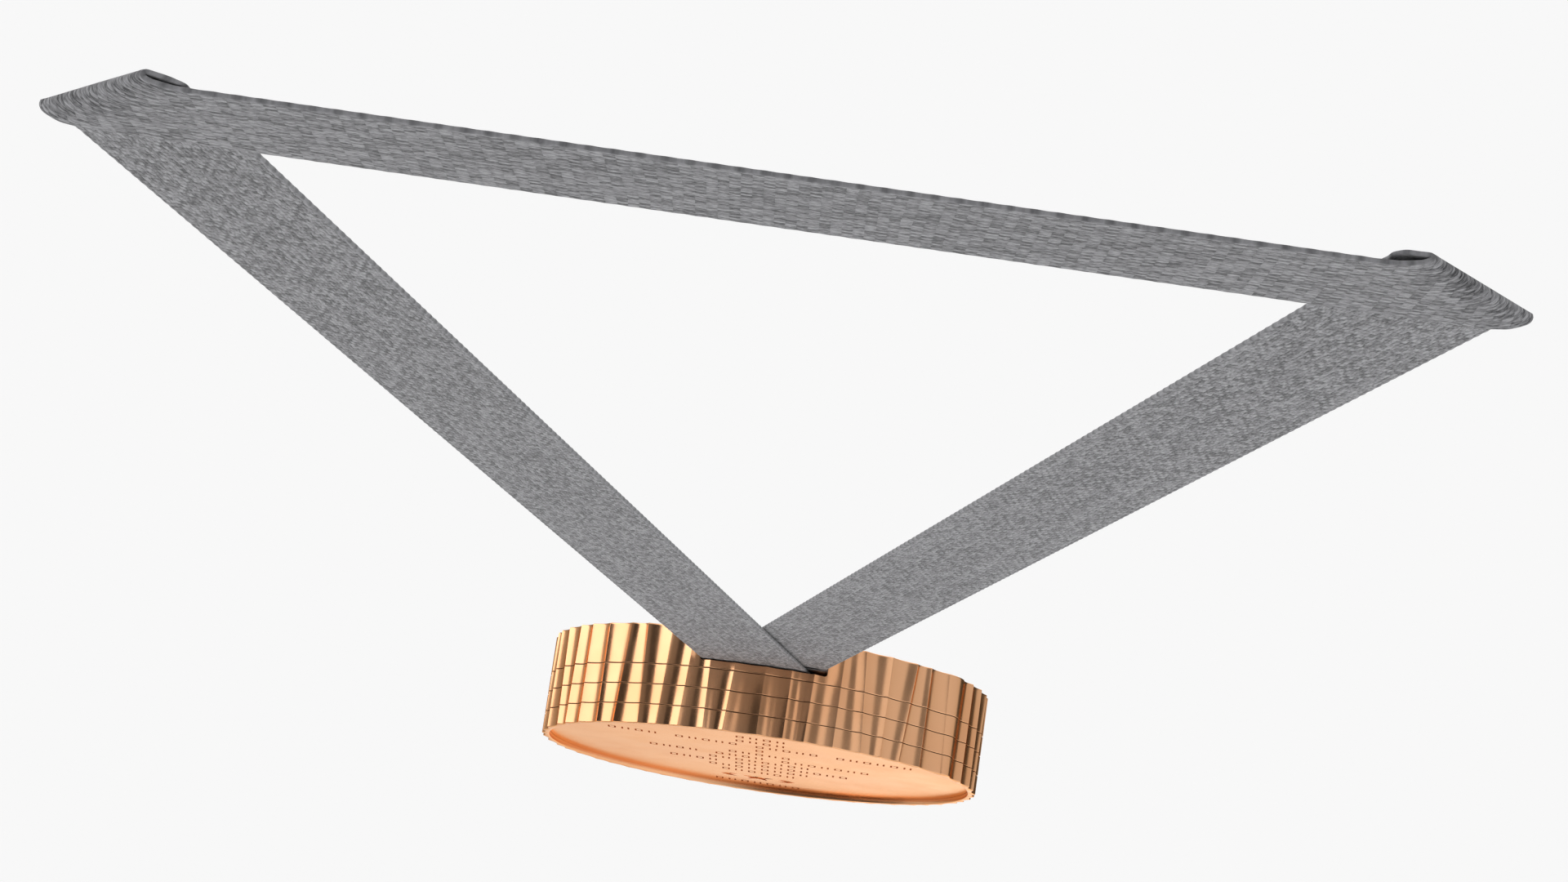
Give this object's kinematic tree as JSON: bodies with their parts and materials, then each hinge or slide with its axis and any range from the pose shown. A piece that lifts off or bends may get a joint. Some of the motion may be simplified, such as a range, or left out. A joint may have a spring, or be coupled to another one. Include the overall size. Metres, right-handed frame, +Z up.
{
  "type": "sports finisher medal",
  "caption": "Thick round bronze-coloured medal with a fluted, layered edge, hung from a closed grey neck ribbon that passes through a slot in its top edge.",
  "frame": {"origin": "middle of the neck strap, on its rear side that lies on the wearer's neck", "axes": "+Z up as it hangs, the medal's face looks along -Y, +X to the right seen from the front"},
  "size_m": [0.1595, 0.0188, 0.418],
  "materials": {
    "bronze_rim": "polished copper bronze",
    "bronze_face": "satin copper bronze, engraved",
    "bronze_back": "satin copper bronze",
    "steel": "turned",
    "ribbon": "woven grey melange band"
  },
  "bodies": {
    "ribbon": {"neck_strap": "ribbon", "left_fold": "ribbon", "right_fold": "ribbon", "left_leg": "ribbon", "right_leg": "ribbon"},
    "medal": {"front_layer": "bronze_rim", "second_layer": "bronze_rim", "third_layer": "bronze_rim", "back_layer": "bronze_rim", "face_plate": "bronze_face", "back_plate": "bronze_back", "back_screws": "steel", "dowel_pins": "steel", "ribbon_bar": "steel", "ribbon_turn": "ribbon", "front_lead": "ribbon", "back_lead": "ribbon"}
  },
  "joints": [
    {"name": "medal_swing", "type": "hinge", "parent": "ribbon", "child": "medal", "pos_m": [0, 0.00082, -0.32314], "axis": [1, 0, 0], "range_deg": [-50, 50]}
  ]
}
